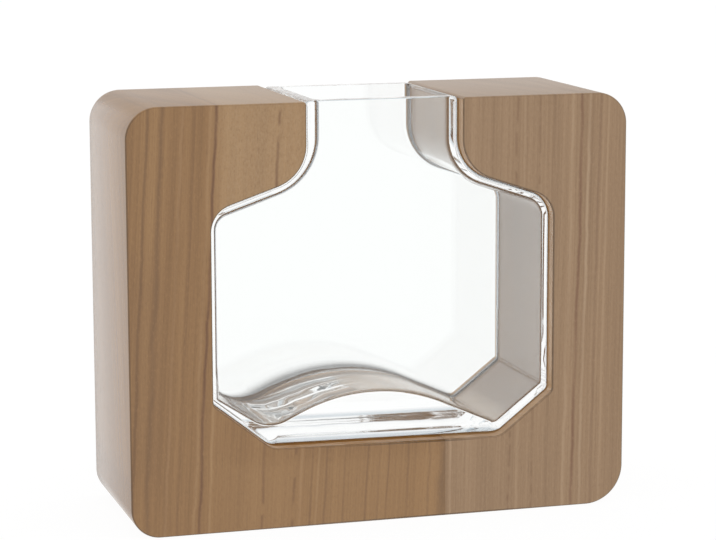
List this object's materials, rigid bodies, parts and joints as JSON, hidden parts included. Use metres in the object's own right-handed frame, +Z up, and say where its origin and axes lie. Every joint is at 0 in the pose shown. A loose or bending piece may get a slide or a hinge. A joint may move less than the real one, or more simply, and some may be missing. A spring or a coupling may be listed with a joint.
{
  "type": "vase",
  "caption": "Flat clear glass vase with a bottle outline, standing in a bottle-shaped opening cut through a solid wooden block, for cut flowers.",
  "frame": {"origin": "middle of the block's underside, on the surface that it stands on", "axes": "+X across the front to the right, +Y from the front to the back, +Z up"},
  "size_m": [0.194, 0.07, 0.16],
  "materials": {
    "wood_left": "sanded, thin matt oil",
    "wood_right": "sanded, thin matt oil",
    "clear_glass": "moulded, ground rim"
  },
  "bodies": {
    "block": {"left_stave": "wood_left", "right_stave": "wood_right"},
    "vase": {"glass_vase": "clear_glass"}
  },
  "joints": [
    {"name": "vase_slide", "type": "slide", "parent": "block", "child": "vase", "axis": [0, -1, 0], "range_m": [-0.065, 0.065]}
  ]
}
